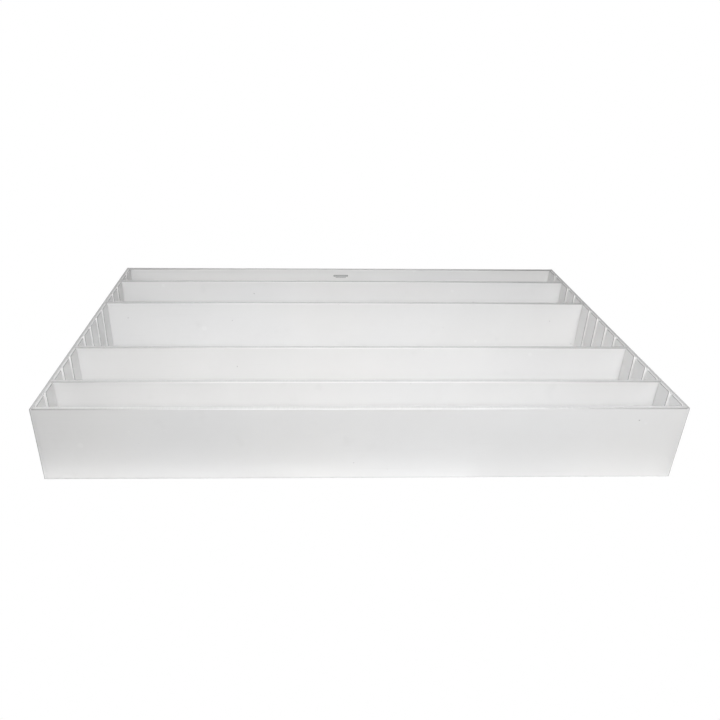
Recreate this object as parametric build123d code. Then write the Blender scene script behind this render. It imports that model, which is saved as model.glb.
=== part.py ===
from build123d import *
import os

# Drawer organizer insert: a shallow open tray of white plastic sheet.
# Each side is a thin outer panel with upright strips bonded to its inner face, one pitch apart.
# The gaps between the strips are upright slots, open at the top.
# The end walls are bonded into the first and last slots, and loose dividers stand in four others.
# Frame: +X to the right, -Y to the front, +Z up, origin at the centre of the underside. Millimetres.

# Whole tray
OUTER_WIDTH = 604.0             # left to right, over both side panels
HEIGHT = 77.5                   # underside to rim
SLOT_PITCH = 25.4               # centre to centre of neighbouring slots, one inch
SLOT_COUNT = 16                 # on each side, counting the two that hold the end walls
SLOT_WIDTH = 5.3                # gap between neighbouring strips

# Sheet thicknesses
SIDE_PANEL_THICKNESS = 2.7
STRIP_THICKNESS = 2.7           # also the depth of a slot
END_WALL_THICKNESS = 5.0
DIVIDER_THICKNESS = 4.8
BASE_THICKNESS = 3.0

# Loose dividers
DIVIDER_SLOTS = (2, 5, 10, 13)  # the front wall stands in slot 0 and the back wall in slot 15
DIVIDER_END_GAP = 0.3           # between each end of a divider and the side panel

# Worked edges
END_WALL_RIM_RADIUS = 1.0       # long top edges of the front and back walls
DIVIDER_RIM_RADIUS = 0.8        # long top edges of the dividers
PANEL_RIM_RADIUS = 0.8          # outer top edge of a side panel
PANEL_CORNER_RADIUS = 1.0       # upright outer corners of a side panel
SHOULDER_RADIUS = 2.0           # top shoulders of a strip, which lead a divider into its slot
STRIP_RIM_CHAMFER = 0.4         # top edge of a strip along the inside of the tray

# Worked out from the above
OUTER_DEPTH = (SLOT_COUNT - 1) * SLOT_PITCH + END_WALL_THICKNESS
HALF_WIDTH = OUTER_WIDTH / 2
PANEL_INNER_X = HALF_WIDTH - SIDE_PANEL_THICKNESS
STRIP_WIDTH = SLOT_PITCH - SLOT_WIDTH       # front to back
END_WALL_INNER_Y = OUTER_DEPTH / 2 - END_WALL_THICKNESS

SIDES = {"left": -1, "right": 1}


def slot_y(slot):
    """Front to back place of a slot's centre line. Slot 0 is the front one."""
    return (slot - (SLOT_COUNT - 1) / 2) * SLOT_PITCH


def sheet(length_x, length_y, height, x=0.0, y=0.0, z=0.0):
    """A rectangular piece of sheet centred at x, y with its underside at z."""
    block = Box(length_x, length_y, height, align=(Align.CENTER, Align.CENTER, Align.MIN))
    return Pos(x, y, z) * block


def top_edges(solid, axis):
    """The edges of a solid's top face that run along the given axis."""
    return solid.faces().sort_by(Axis.Z)[-1].edges().filter_by(axis)


def base_panel():
    """The floor, let in between the side panels and the end walls, flush with their undersides."""
    return sheet(2 * PANEL_INNER_X, 2 * END_WALL_INNER_Y, BASE_THICKNESS)


def side_panel(side):
    """The thin outer panel of one side, over the whole depth, with its outer edges rounded."""
    centre_x = side * (HALF_WIDTH - SIDE_PANEL_THICKNESS / 2)
    panel = sheet(SIDE_PANEL_THICKNESS, OUTER_DEPTH, HEIGHT, x=centre_x)
    outer_uprights = panel.edges().filter_by(Axis.Z).group_by(Axis.X)[-1 if side > 0 else 0]
    panel = fillet(outer_uprights, PANEL_CORNER_RADIUS)
    outer_rim = top_edges(panel, Axis.Y).group_by(Axis.X)[-1 if side > 0 else 0]
    return fillet(outer_rim, PANEL_RIM_RADIUS)


def slot_strip(side, number):
    """The strip that stands on the floor between slots number - 1 and number of one side."""
    centre_x = side * (PANEL_INNER_X - STRIP_THICKNESS / 2)
    centre_y = (slot_y(number - 1) + slot_y(number)) / 2
    height = HEIGHT - BASE_THICKNESS
    strip = sheet(STRIP_THICKNESS, STRIP_WIDTH, height, x=centre_x, y=centre_y, z=BASE_THICKNESS)
    strip = fillet(top_edges(strip, Axis.X), SHOULDER_RADIUS)
    inner_rim = top_edges(strip, Axis.Y).group_by(Axis.X)[0 if side > 0 else -1]
    return chamfer(inner_rim, STRIP_RIM_CHAMFER)


def end_wall(slot):
    """A front or back wall, as long as the space between the side panels."""
    wall = sheet(2 * PANEL_INNER_X, END_WALL_THICKNESS, HEIGHT, y=slot_y(slot))
    return fillet(top_edges(wall, Axis.X), END_WALL_RIM_RADIUS)


def divider(slot):
    """A loose divider standing on the floor, with its ends in a pair of slots."""
    length = 2 * (PANEL_INNER_X - DIVIDER_END_GAP)
    height = HEIGHT - BASE_THICKNESS
    board = sheet(length, DIVIDER_THICKNESS, height, y=slot_y(slot), z=BASE_THICKNESS)
    return fillet(top_edges(board, Axis.X), DIVIDER_RIM_RADIUS)


def all_pieces():
    """Every piece of the tray, by the name of its node."""
    pieces = {"base_panel": base_panel()}
    for name, side in SIDES.items():
        pieces[f"{name}_side_panel"] = side_panel(side)
        for number in range(1, SLOT_COUNT):
            pieces[f"{name}_slot_strip_{number:02d}"] = slot_strip(side, number)
    pieces["front_wall"] = end_wall(0)
    pieces["back_wall"] = end_wall(SLOT_COUNT - 1)
    for number, slot in enumerate(DIVIDER_SLOTS, start=1):
        pieces[f"divider_{number}"] = divider(slot)
    return pieces


os.makedirs("parts", exist_ok=True)
for node, piece in all_pieces().items():
    export_step(piece, f"parts/{node}.step")
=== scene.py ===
import math
from collections import namedtuple

import bmesh
import bpy
from mathutils import Matrix, Vector


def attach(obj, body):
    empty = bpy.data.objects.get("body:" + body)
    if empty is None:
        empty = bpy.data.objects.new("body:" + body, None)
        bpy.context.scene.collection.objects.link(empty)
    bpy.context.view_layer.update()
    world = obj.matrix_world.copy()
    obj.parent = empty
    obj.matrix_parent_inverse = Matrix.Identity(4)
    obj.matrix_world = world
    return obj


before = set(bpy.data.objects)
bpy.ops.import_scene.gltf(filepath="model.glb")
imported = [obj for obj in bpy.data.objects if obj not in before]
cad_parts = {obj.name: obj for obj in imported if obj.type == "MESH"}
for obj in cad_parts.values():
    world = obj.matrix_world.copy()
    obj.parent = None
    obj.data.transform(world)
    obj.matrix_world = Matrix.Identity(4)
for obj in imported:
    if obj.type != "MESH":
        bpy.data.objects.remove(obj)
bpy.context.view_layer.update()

# Camera, in metres and degrees, in the tray's own frame
CAMERA_PLACE = Vector((-0.0570, -0.7127, 0.3907))
CAMERA_DOWN = 28.027            # below the horizon
CAMERA_TURN = -1.742            # about the upright, towards the right
CAMERA_ROLL = 0.803
CAMERA_LENS = 33.35
CAMERA_SHIFT = (0.0566, 0.0187)
CAMERA_NEAREST = 0.01

# Soft lights: place, what it faces, width and height, power in watts
LIGHTS = {
    "key": ((0.04, -0.75, 0.50), (0.04, -0.19, 0.04), (0.40, 0.30), 2.04),
    "key_close": ((0.07, -0.46, 0.50), (0.05, -0.15, 0.04), (0.80, 0.20), 1.76),
    "overhead": ((0.08, -0.27, 0.60), (0.08, -0.09, 0.04), (1.30, 0.30), 1.55),
    "fill_left": ((-0.30, -0.95, 0.75), (-0.10, -0.10, 0.04), (0.50, 0.35), 0.15),
    "side_left": ((-0.75, 0.00, 0.45), (0.0, 0.0, 0.04), (0.40, 0.36), 1.25),
    "back": ((0.0, 1.126, 0.69), (0.0, 0.0, 0.04), (1.50, 0.50), 8.6),
    "bounce_left": ((-0.215, -0.2085, 0.0003), (-0.215, -0.2085, 1.0), (0.21, 0.03), 0.0165),
    "bounce_centre": ((0.0, -0.2085, 0.0003), (0.0, -0.2085, 1.0), (0.22, 0.03), 0.0165),
    "bounce_right": ((0.215, -0.2085, 0.0003), (0.215, -0.2085, 1.0), (0.21, 0.03), 0.0105),
}

# Floor: two sheets at one height. The camera sees one, evenly white. All else sees the other, which
# glows least near DIM_CENTRE and more outwards, over distances in multiples of DIM_HALF.
FLOOR_HALF = 6.0
FLOOR_COLOUR = 0.86
FLOOR_ROUGHNESS = 0.6
PAPER_GRAIN = 180.0
PAPER_SHADES = (0.998, 1.002)
DIM_CENTRE = (-0.18, -0.30)
DIM_HALF = (0.75, 0.45)
GLOW_START = 0.25
GLOW_FULL = 1.30
GLOW_LEAST = 0.10
GLOW_MOST = 1.0
WHITE = (1.0, 1.0, 1.0, 1.0)

# Kinds of white plastic sheet. The fields come in this order in the table. The lightnesses are not
# the object's own: they were tuned until the render was as bright as the photo, face by face, so
# the differences between them are painted light and shade.
Sheet = namedtuple("Sheet", [
    "nodes",        # words in the names of its CAD nodes
    "inside",       # lightness of the faces that look into the tray, lower on the strips as painted shade
    "outside",      # lightness of the faces that look out of it, lower on the walls as painted shade
    "edge",         # lightness of the sawn top edges, lowered as painted shade
    "side",         # lightness of the faces across the tray's depth, such as a slot's sides, raised on the strips as painted light
    "share",        # how much of the light goes into the plastic
    "depth",        # how far it goes in, in metres
    "edge_break",   # bevel that breaks the sharp edges, in metres
    "saw_axis",     # axis that the saw moved along: 0 is X and 1 is Y
    "along",        # axes that the scratches follow
    "plane",        # axes of the sheet's faces
    "cut_slope",    # how far upwards a surface starts and ends turning from face to sawn edge
])
SHEETS = {
    "end_wall": Sheet(
        ("front_wall", "back_wall"),
        0.880, 0.625, 0.66, 0.625, 0.35, 0.004, 0.0001, 0, (0, 1), "XZ", (0.10, 0.40),
    ),
    "side_panel": Sheet(
        ("side_panel",),
        0.880, 0.630, 0.54, 0.630, 0.20, 0.003, 0.0001, 1, (0, 1), "YZ", (0.60, 0.90),
    ),
    "strip": Sheet(
        ("slot_strip",),
        0.810, 0.810, 0.70, 1.00, 0.10, 0.002, 0.0005, 1, (0, 1), "YZ", (0.60, 0.90),
    ),
    "divider": Sheet(
        ("divider",),
        0.915, 0.915, 0.62, 0.915, 0.35, 0.004, 0.0002, 0, (0, 1), "XZ", (0.60, 0.90),
    ),
    "base": Sheet(
        ("base_panel",),
        0.880, 0.710, 0.67, 0.88, 0.50, 0.004, 0.0002, 0, (0,), "XY", None,
    ),
}
SEED_STEP = 20.0                # between the patterns of one kind and the next
SHEET_SPACING = 0.0254          # between neighbouring slots
SHEET_PATTERN_STEP = 1.37       # between the patterns of neighbouring sheets
PLASTIC_IOR = 1.49
OUTWARD_TURN = 0.02             # half the change from inside to outside faces, in metres
SIDE_SLOPE = (0.70, 0.95)
BEVEL_SEGMENTS = 2
BEVEL_ANGLE = 40.0
WELD_GAP = 1e-6

# Values of a noise over which a pattern turns from none to full
WIDE = (0.30, 0.70)
MIDDLE = (0.35, 0.65)

# Marks on the faces: patterns per metre, then how much they darken or lighten
CLOUD_SCALE = 9.0
CLOUD_SHADES = (0.975, 1.0)
SMUDGE_SCALE = 38.0
SMUDGE_TURN = (0.62, 0.78)
SMUDGE_SHADES = (1.0, 0.968)
DARK_SPECKS = (30.0, 0.0007, 0.13)      # cells per metre, radius, share of cells with a speck
DARK_SPECK_SHADE = -0.38
LIGHT_SPECKS = (23.0, 0.0028, 0.16)
LIGHT_SPECK_SHADE = 0.035
SPECK_LEAST = 0.4               # radius of the smallest, as a share of the radius above
SPECK_SOFTNESS = 0.6
SCRATCH_ANGLES = ((0.0, 11.0, 4.0), (3.0, -24.0, -9.0))
SCRATCHES_ACROSS = 900.0
SCRATCHES_ALONG = 14.0
SCRATCH_TURN = (0.66, 0.74)
SCRATCH_PATCHES = 13.0
PATCH_TURN = (0.50, 0.62)
SCRATCH_SHADE = -0.022

# Sawn edges
TEETH_ALONG = 1500.0
TEETH_ACROSS = 60.0
TEETH_TURN = (0.25, 0.75)
TEETH_SHADES = (0.95, 1.04)
BURN_SCALE = 16.0
BURN_SHADES = (0.98, 1.02)

# Corners and arrises: painted shade on the corners, a painted highlight on the arrises. Each is
# found from how a rounding's normal shares itself between two axes.
CORNER_TURN = (0.06, 0.20)
CORNER_PAINTED_SHADE = 0.42
ARRIS_TURN = (0.10, 0.21)
ARRIS_PAINTED_HIGHLIGHT = {"XZ": 1.17, "YZ": 1.00, "XY": 1.00}

# Blotches: red and blue, at the cool end, and their change towards the warm end
WARMTH_SCALE = 5.0
WARM_RED = (0.005, 0.999)
WARM_BLUE = (-0.008, 1.003)

# Finish
GRAIN_SCALE = 240.0
ROUGHNESS = (0.36, 0.44)
ROUGHER_SCRATCHES = 0.18
ROUGHER_SMUDGES = 3.0
ROUGHER_CUTS = 0.40
ROUGHER_ARRISES = 0.25

# Heights: patterns per metre, and depths in metres
RIPPLE = (34.0, 0.00002)
PEEL = (520.0, 0.000022)
SCRATCH_DEPTH = 0.00003
SAW_DEPTH = 0.00006

# Plain grey printed bar on the back wall's inner face, near the rim, with a fine underline
MARK_CENTRE = (-0.001, 0.188, 0.0682)
MARK_THICKNESS = 0.00012
MARK_BARS = (
    (0.0028, 0.021, 0.0),           # height, length and drop
    (0.0008, 0.0147, 0.00252),
)
MARK_CORNERS = 24
INK_TONES = (0.38, 0.57)
INK_ROUGHNESS = (0.45, 0.60)
INK_WEAR = 900.0


# ---------------------------------------------------------------- node helpers

def node(tree, kind, settings=None, inputs=None):
    """Adds a node. An input is given as a value or as the socket that feeds it."""
    made = tree.nodes.new("ShaderNode" + kind)
    for name, value in (settings or {}).items():
        setattr(made, name, value)
    for name, value in (inputs or {}).items():
        socket = made.inputs[name]
        if isinstance(value, bpy.types.NodeSocket):
            tree.links.new(value, socket)
        else:
            socket.default_value = value
    return made


def maths(tree, operation, *values):
    made = tree.nodes.new("ShaderNodeMath")
    made.operation = operation
    for socket, value in zip(made.inputs, values):
        if isinstance(value, bpy.types.NodeSocket):
            tree.links.new(value, socket)
        else:
            socket.default_value = value
    return made.outputs[0]


def ramp(tree, value, low, high, start=0.0, end=1.0):
    """Maps low to high smoothly onto start to end."""
    made = node(tree, "MapRange", {"interpolation_type": "SMOOTHSTEP"}, {
        "Value": value,
        "From Min": low,
        "From Max": high,
        "To Min": start,
        "To Max": end,
    })
    return made.outputs["Result"]


def stretched(tree, place, scale, turn=(0.0, 0.0, 0.0)):
    made = node(tree, "Mapping", None, {
        "Vector": place,
        "Scale": scale,
        "Rotation": tuple(math.radians(angle) for angle in turn),
    })
    return made.outputs["Vector"]


def noise(tree, place, scale, seed, detail=2.0, roughness=0.5):
    made = node(tree, "TexNoise", {"noise_dimensions": "4D"}, {
        "Vector": place,
        "W": seed,
        "Scale": scale,
        "Detail": detail,
        "Roughness": roughness,
    })
    return made.outputs["Fac"]


def bump(tree, height, depth, below=None):
    inputs = {"Height": height, "Distance": depth, "Strength": 1.0}
    if below is not None:
        inputs["Normal"] = below
    return node(tree, "Bump", None, inputs).outputs["Normal"]


def grey(tree, value):
    made = node(tree, "CombineColor", None, {"Red": value, "Green": value, "Blue": value})
    return made.outputs["Color"]


def new_material(name):
    """A material with an empty node tree but for its output, and that output."""
    material = bpy.data.materials.new(name)
    material.use_nodes = True
    tree = material.node_tree
    tree.nodes.clear()
    return material, tree, tree.nodes.new("ShaderNodeOutputMaterial")


# ---------------------------------------------------------------- materials

def on_sheet(tree, place, plane, seed):
    """Flat coordinates on a sheet. Each sheet of a row gets its own stretch of the pattern."""
    apart = node(tree, "SeparateXYZ", None, {"Vector": place})
    through = next(axis for axis in "XYZ" if axis not in plane)
    rank = maths(tree, "ROUND", maths(tree, "DIVIDE", apart.outputs[through], SHEET_SPACING))
    shift = maths(tree, "MULTIPLY_ADD", rank, SHEET_PATTERN_STEP, seed)
    shifted = maths(tree, "ADD", apart.outputs[plane[0]], shift)
    flat = node(tree, "CombineXYZ", None, {"X": shifted, "Y": apart.outputs[plane[1]]})
    return flat.outputs["Vector"]


def specks(tree, flat_place, scale, radius, share):
    """Small round marks on a sheet, one in a few cells, with size and place different in each."""
    cells = node(tree, "TexVoronoi", {"voronoi_dimensions": "2D"}, {
        "Vector": flat_place,
        "Scale": scale,
        "Randomness": 1.0,
    })
    chance = node(tree, "SeparateColor", None, {"Color": cells.outputs["Color"]})
    chosen = maths(tree, "GREATER_THAN", chance.outputs["Red"], 1.0 - share)
    size = maths(tree, "MULTIPLY_ADD", chance.outputs["Green"], radius, radius * SPECK_LEAST)
    distance = maths(tree, "DIVIDE", cells.outputs["Distance"], scale)
    inside = maths(tree, "SUBTRACT", size, distance)
    edge = ramp(tree, inside, 0.0, radius * SPECK_SOFTNESS)
    return maths(tree, "MULTIPLY", edge, chosen)


def hairlines(tree, place, seed, turn, along):
    """Fine scratches that run one way, in a few patches."""
    scales = [SCRATCHES_ACROSS] * 3
    for axis in along:
        scales[axis] = SCRATCHES_ALONG
    lines = noise(tree, stretched(tree, place, tuple(scales), turn), 1.0, seed, 1.0)
    fine = ramp(tree, lines, *SCRATCH_TURN)
    patches = ramp(tree, noise(tree, place, SCRATCH_PATCHES, seed + 7.0, 1.0), *PATCH_TURN)
    return maths(tree, "MULTIPLY", fine, patches)


def shaded(tree, tone, amount, shade):
    """The tone, changed by shade where amount is 1."""
    return maths(tree, "MULTIPLY", tone, maths(tree, "MULTIPLY_ADD", amount, shade, 1.0))


def rounding(tree, amount):
    """Nothing on a flat face and most where a rounding is halfway round."""
    return maths(tree, "MULTIPLY", amount, maths(tree, "SUBTRACT", 1.0, amount))


def blend(tree, factor, first, second):
    made = node(tree, "Mix", {"data_type": "FLOAT"}, {"Factor": factor, "A": first, "B": second})
    return made.outputs["Result"]


def sheet_plastic(name, sheet, seed):
    """Satin white plastic sheet with sawn edges, with painted shade and painted highlights on some
    faces and roundings.
    """
    material, tree, output = new_material(name)
    coordinates = node(tree, "TexCoord")
    place = coordinates.outputs["Object"]
    facing = node(tree, "SeparateXYZ", None, {"Vector": coordinates.outputs["Normal"]})
    upward = maths(tree, "ABSOLUTE", facing.outputs["Z"])
    cut = ramp(tree, upward, *sheet.cut_slope) if sheet.cut_slope else 0.0

    # Face: faint cloudiness, smudges, specks and hairline scratches
    cloud = ramp(tree, noise(tree, place, CLOUD_SCALE, seed, 3.0), *WIDE, *CLOUD_SHADES)
    smears = noise(tree, place, SMUDGE_SCALE, seed + 1.0, 2.0, 0.6)
    smudge = ramp(tree, smears, *SMUDGE_TURN, *SMUDGE_SHADES)
    on_face = on_sheet(tree, place, sheet.plane, seed)
    dark = specks(tree, on_face, *DARK_SPECKS)
    light = specks(tree, on_face, *LIGHT_SPECKS)
    lines_a = hairlines(tree, place, seed + 4.0, SCRATCH_ANGLES[0], sheet.along)
    lines_b = hairlines(tree, place, seed + 5.0, SCRATCH_ANGLES[1], sheet.along)
    lines = maths(tree, "MAXIMUM", lines_a, lines_b)
    tone = maths(tree, "MULTIPLY", cloud, smudge)
    tone = shaded(tree, tone, dark, DARK_SPECK_SHADE)
    tone = shaded(tree, tone, light, LIGHT_SPECK_SHADE)
    tone = shaded(tree, tone, lines, SCRATCH_SHADE)

    # Faces outside the tray point away from its middle. They are darker, to match the photo:
    # painted shade.
    outward = node(tree, "VectorMath", {"operation": "DOT_PRODUCT"})
    tree.links.new(place, outward.inputs[0])
    tree.links.new(coordinates.outputs["Normal"], outward.inputs[1])
    outward = outward.outputs["Value"]
    face = ramp(tree, outward, -OUTWARD_TURN, OUTWARD_TURN, sheet.inside, sheet.outside)
    # Slot sides on the strips are lighter: painted light.
    if sheet.side != sheet.outside:
        sideways = ramp(tree, maths(tree, "ABSOLUTE", facing.outputs["Y"]), *SIDE_SLOPE)
        face = blend(tree, sideways, face, sheet.side)
    face_tone = maths(tree, "MULTIPLY", tone, face)

    # Sawn edge: marks across the sheet, from the blade's teeth, on a lightness lowered as painted
    # shade
    teeth = [TEETH_ACROSS] * 3
    teeth[sheet.saw_axis] = TEETH_ALONG
    marks = noise(tree, stretched(tree, place, tuple(teeth)), 1.0, seed + 6.0, 2.0, 0.7)
    burn = noise(tree, place, BURN_SCALE, seed + 8.0, 2.0)
    edge_tone = maths(tree, "MULTIPLY", ramp(tree, marks, *TEETH_TURN, *TEETH_SHADES), sheet.edge)
    edge_tone = maths(tree, "MULTIPLY", edge_tone, ramp(tree, burn, *MIDDLE, *BURN_SHADES))
    tone = blend(tree, cut, face_tone, edge_tone)

    # Rounded outer corners: darker than the faces on either side, to match the photo, as painted
    # shade
    corner = rounding(tree, maths(tree, "ABSOLUTE", facing.outputs["X"]))
    tone = maths(tree, "MULTIPLY", tone, ramp(tree, corner, *CORNER_TURN, 1.0, CORNER_PAINTED_SHADE))

    # Rounded arrises along the top edges: lighter on the end walls, to match the photo, as a
    # painted highlight
    arris = rounding(tree, upward)
    painted_highlight = ramp(tree, arris, *ARRIS_TURN, 1.0, ARRIS_PAINTED_HIGHLIGHT[sheet.plane])
    tone = maths(tree, "MULTIPLY", tone, painted_highlight)

    # Blotches that are faintly warmer or cooler
    warmth = ramp(tree, noise(tree, place, WARMTH_SCALE, seed + 9.0, 1.0), *MIDDLE)
    red = maths(tree, "MULTIPLY", tone, maths(tree, "MULTIPLY_ADD", warmth, *WARM_RED))
    blue = maths(tree, "MULTIPLY", tone, maths(tree, "MULTIPLY_ADD", warmth, *WARM_BLUE))
    colour = node(tree, "CombineColor", None, {"Red": red, "Green": tone, "Blue": blue})

    # Satin finish: rougher where it is scratched, smudged, sawn or rounded
    rough = ramp(tree, noise(tree, place, GRAIN_SCALE, seed + 10.0, 2.0), *WIDE, *ROUGHNESS)
    smeared = maths(tree, "SUBTRACT", 1.0, smudge)
    for amount, rougher in (
        (lines, ROUGHER_SCRATCHES),
        (smeared, ROUGHER_SMUDGES),
        (cut, ROUGHER_CUTS),
    ):
        rough = maths(tree, "ADD", rough, maths(tree, "MULTIPLY", amount, rougher))
    rough = maths(tree, "ADD", rough, ramp(tree, arris, *ARRIS_TURN, 0.0, ROUGHER_ARRISES))

    # Height: rolled-sheet ripple, orange peel, scratches, and saw marks on the edges
    ripple = bump(tree, noise(tree, place, RIPPLE[0], seed + 11.0, 1.0), RIPPLE[1])
    peel = bump(tree, noise(tree, place, PEEL[0], seed + 12.0, 2.0), PEEL[1], ripple)
    scratched = bump(tree, maths(tree, "SUBTRACT", 1.0, lines), SCRATCH_DEPTH, peel)
    sawn = bump(tree, maths(tree, "MULTIPLY", marks, cut), SAW_DEPTH, scratched)

    shader = node(tree, "BsdfPrincipled", {"subsurface_method": "RANDOM_WALK"}, {
        "Base Color": colour.outputs["Color"],
        "Roughness": rough,
        "Normal": sawn,
        "IOR": PLASTIC_IOR,
        "Subsurface Weight": sheet.share,
        "Subsurface Radius": (1.0, 1.0, 1.0),
        "Subsurface Scale": sheet.depth,
    })
    tree.links.new(shader.outputs["BSDF"], output.inputs["Surface"])
    return material


def paper_material():
    """The floor that the camera sees: evenly white, with the faintest grain."""
    material, tree, output = new_material("floor")
    place = node(tree, "TexCoord").outputs["Object"]
    grain = ramp(tree, noise(tree, place, PAPER_GRAIN, 0.5, 3.0), *WIDE, *PAPER_SHADES)
    shader = node(tree, "Emission", None, {"Color": WHITE, "Strength": grain})
    tree.links.new(shader.outputs["Emission"], output.inputs["Surface"])
    return material


def bounce_material():
    """The floor that lights the tray from below. It glows more, further from DIM_CENTRE."""
    material, tree, output = new_material("floor_bounce")
    place = node(tree, "TexCoord").outputs["Object"]
    apart = node(tree, "SeparateXYZ", None, {"Vector": place})
    steps = []
    for axis, centre, half in zip("XY", DIM_CENTRE, DIM_HALF):
        away = maths(tree, "SUBTRACT", apart.outputs[axis], centre)
        away = maths(tree, "ABSOLUTE", maths(tree, "DIVIDE", away, half))
        steps.append(maths(tree, "POWER", away, 2.0))
    reach = maths(tree, "SQRT", maths(tree, "ADD", *steps))
    glow = ramp(tree, reach, GLOW_START, GLOW_FULL, GLOW_LEAST, GLOW_MOST)
    shader = node(tree, "BsdfPrincipled", None, {
        "Base Color": (FLOOR_COLOUR, FLOOR_COLOUR, FLOOR_COLOUR, 1.0),
        "Roughness": FLOOR_ROUGHNESS,
        "Emission Color": WHITE,
        "Emission Strength": glow,
    })
    tree.links.new(shader.outputs["BSDF"], output.inputs["Surface"])
    return material


# ---------------------------------------------------------------- studio

def add_camera():
    data = bpy.data.cameras.new("camera")
    data.lens = CAMERA_LENS
    data.shift_x, data.shift_y = CAMERA_SHIFT
    data.clip_start = CAMERA_NEAREST
    camera = bpy.data.objects.new("camera", data)
    turn = Matrix.Rotation(math.radians(CAMERA_TURN), 4, "Z")
    tilt = Matrix.Rotation(math.radians(90.0 - CAMERA_DOWN), 4, "X")
    roll = Matrix.Rotation(math.radians(CAMERA_ROLL), 4, "Z")
    camera.matrix_world = Matrix.Translation(CAMERA_PLACE) @ turn @ tilt @ roll
    bpy.context.scene.collection.objects.link(camera)
    bpy.context.scene.camera = camera


def add_floor_sheet(name, material, seen):
    """A flat sheet at floor height, for the camera alone or for everything but the camera."""
    signs = [(-1, -1), (1, -1), (1, 1), (-1, 1)]
    corners = [(x * FLOOR_HALF, y * FLOOR_HALF, 0.0) for x, y in signs]
    mesh = bpy.data.meshes.new(name)
    mesh.from_pydata(corners, [], [(0, 1, 2, 3)])
    mesh.materials.append(material)
    sheet = bpy.data.objects.new(name, mesh)
    sheet.visible_camera = seen
    sheet.visible_diffuse = not seen
    sheet.visible_glossy = not seen
    sheet.visible_transmission = not seen
    sheet.visible_volume_scatter = not seen
    sheet.visible_shadow = not seen
    bpy.context.scene.collection.objects.link(sheet)


def add_floor():
    add_floor_sheet("floor", paper_material(), True)
    add_floor_sheet("floor_bounce", bounce_material(), False)


def add_lights():
    for name, (place, target, size, power) in LIGHTS.items():
        data = bpy.data.lights.new(name, "AREA")
        data.shape = "RECTANGLE"
        data.size, data.size_y = size
        data.energy = power
        light = bpy.data.objects.new(name, data)
        aim = Vector(target) - Vector(place)
        turn = aim.to_track_quat("-Z", "Y").to_matrix().to_4x4()
        light.matrix_world = Matrix.Translation(place) @ turn
        light.visible_camera = False
        bpy.context.scene.collection.objects.link(light)


def add_backdrop():
    """A pale surround that only the camera sees."""
    world = bpy.data.worlds.new("studio")
    world.use_nodes = True
    background = world.node_tree.nodes["Background"]
    background.inputs["Color"].default_value = WHITE
    background.inputs["Strength"].default_value = 1.0
    seen_by = world.cycles_visibility
    seen_by.diffuse = False
    seen_by.glossy = False
    seen_by.transmission = False
    seen_by.scatter = False
    bpy.context.scene.world = world


# ---------------------------------------------------------------- object

def break_edges(piece, width):
    weld = piece.modifiers.new("weld", "WELD")
    weld.merge_threshold = WELD_GAP
    edges = piece.modifiers.new("edges", "BEVEL")
    edges.width = width
    edges.segments = BEVEL_SEGMENTS
    edges.limit_method = "ANGLE"
    edges.angle_limit = math.radians(BEVEL_ANGLE)


def finish_sheets():
    """Gives each CAD node its plastic and its broken edges."""
    for number, (kind, sheet) in enumerate(SHEETS.items()):
        material = sheet_plastic(kind + "_plastic", sheet, SEED_STEP * number)
        for name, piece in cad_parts.items():
            if any(word in name for word in sheet.nodes):
                piece.data.materials.clear()
                piece.data.materials.append(material)
                break_edges(piece, sheet.edge_break)


def ink():
    """Grey ink, worn thin in places."""
    material, tree, output = new_material("ink")
    place = node(tree, "TexCoord").outputs["Object"]
    worn = ramp(tree, noise(tree, place, INK_WEAR, 3.0, 3.0, 0.7), *MIDDLE, *INK_TONES)
    shader = node(tree, "BsdfPrincipled", None, {
        "Base Color": grey(tree, worn),
        "Roughness": ramp(tree, worn, *INK_TONES, *INK_ROUGHNESS),
        "IOR": PLASTIC_IOR,
    })
    tree.links.new(shader.outputs["BSDF"], output.inputs["Surface"])
    return material


def print_mark():
    """Thin raised ink: a bar with round ends, and a fine underline."""
    made = bmesh.new()
    for height, length, drop in MARK_BARS:
        radius = height / 2.0
        reach = length / 2.0 - radius
        outline = []
        for step in range(MARK_CORNERS):
            angle = 2.0 * math.pi * (step + 0.5) / MARK_CORNERS
            x = math.cos(angle) * radius + math.copysign(reach, math.cos(angle))
            outline.append(made.verts.new((x, 0.0, math.sin(angle) * radius - drop)))
        back = made.faces.new(outline)
        raised = bmesh.ops.extrude_face_region(made, geom=[back])
        front = [item for item in raised["geom"] if isinstance(item, bmesh.types.BMVert)]
        bmesh.ops.translate(made, vec=(0.0, -MARK_THICKNESS, 0.0), verts=front)
    bmesh.ops.recalc_face_normals(made, faces=made.faces)
    mesh = bpy.data.meshes.new("printed_bar")
    made.to_mesh(mesh)
    made.free()
    mesh.materials.append(ink())
    bar = bpy.data.objects.new("printed_bar", mesh)
    bar.location = MARK_CENTRE
    bpy.context.scene.collection.objects.link(bar)
    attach(bar, "tray")


add_camera()
add_floor()
add_lights()
add_backdrop()
bpy.context.scene.view_settings.view_transform = "Standard"
finish_sheets()
print_mark()
